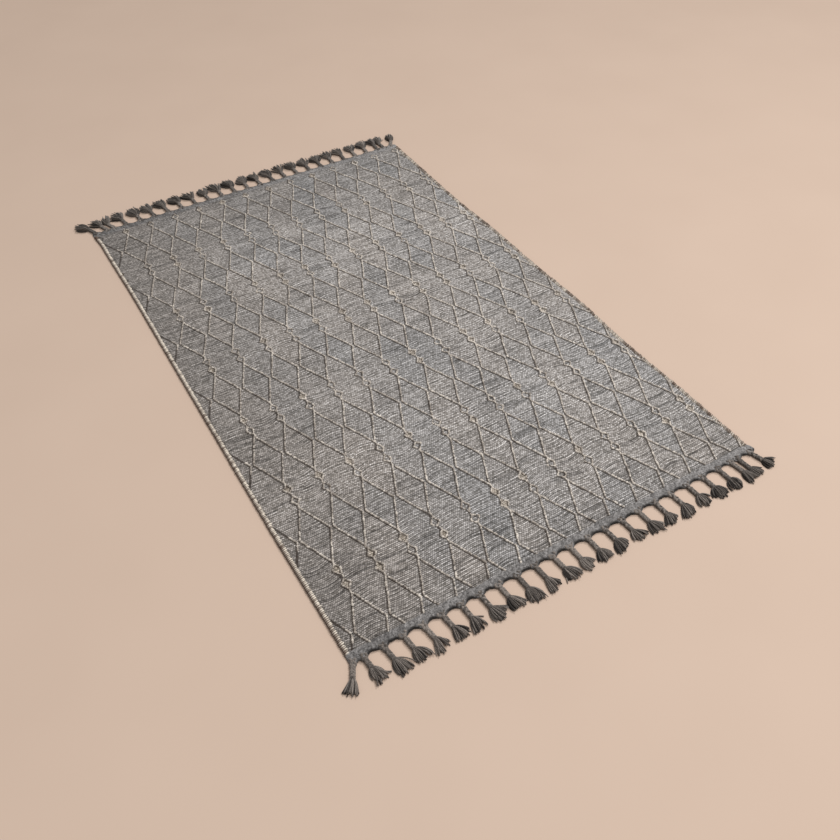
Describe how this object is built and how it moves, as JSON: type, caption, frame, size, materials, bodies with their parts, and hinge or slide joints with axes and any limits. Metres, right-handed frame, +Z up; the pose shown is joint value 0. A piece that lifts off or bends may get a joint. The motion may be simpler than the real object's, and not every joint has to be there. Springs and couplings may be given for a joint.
{
  "type": "kilim rug",
  "caption": "Flatwoven rectangular rug with a raised diamond lattice, overcast sides and a row of knotted tassels along each end.",
  "frame": {"origin": "on the floor, under the middle of the woven body between the two bands' outer edges", "axes": "+X across the rug, +Y along its length towards the far tassels, +Z up out of the floor"},
  "size_m": [1.6402, 2.685, 0.013],
  "materials": {
    "field_weave": "matt melange wool weave",
    "lattice_cord": "matt undyed wool cord",
    "selvedge_cord": "matt overcast wool yarn",
    "fringe_yarn": "matt charcoal wool yarn"
  },
  "bodies": {
    "root": {"field": "field_weave", "selvedge_left": "selvedge_cord", "selvedge_right": "selvedge_cord", "fringe_near": "fringe_yarn", "fringe_far": "fringe_yarn"}
  },
  "joints": []
}
